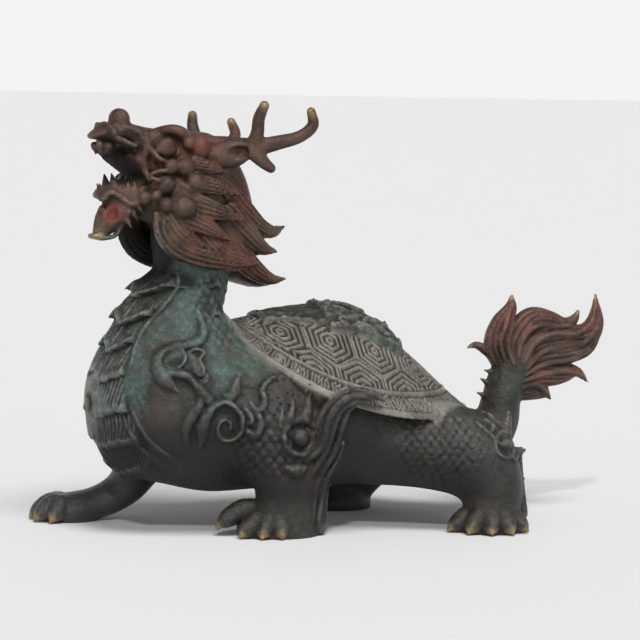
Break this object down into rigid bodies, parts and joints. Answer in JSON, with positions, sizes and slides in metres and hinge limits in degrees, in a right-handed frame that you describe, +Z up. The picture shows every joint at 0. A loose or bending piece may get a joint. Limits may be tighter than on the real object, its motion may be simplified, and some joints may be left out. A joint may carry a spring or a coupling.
{
  "type": "dragon turtle statue",
  "caption": "small cast-bronze dragon turtle standing on four clawed paws, dragon head raised, shell on its back, flame tuft on its tail",
  "frame": {"origin": "centre of the bounding box in plan, on the plane of the soles", "axes": "the head points to -X, the animal's left flank is -Y, up is +Z"},
  "size_m": [0.1968, 0.086, 0.1398],
  "materials": {
    "bronze": "aged brown-black bronze patina with verdigris, red-brown on head and tail tuft, bare yellow metal on rubbed tips"
  },
  "bodies": {
    "root": {"dragon_turtle": "bronze"}
  },
  "joints": []
}
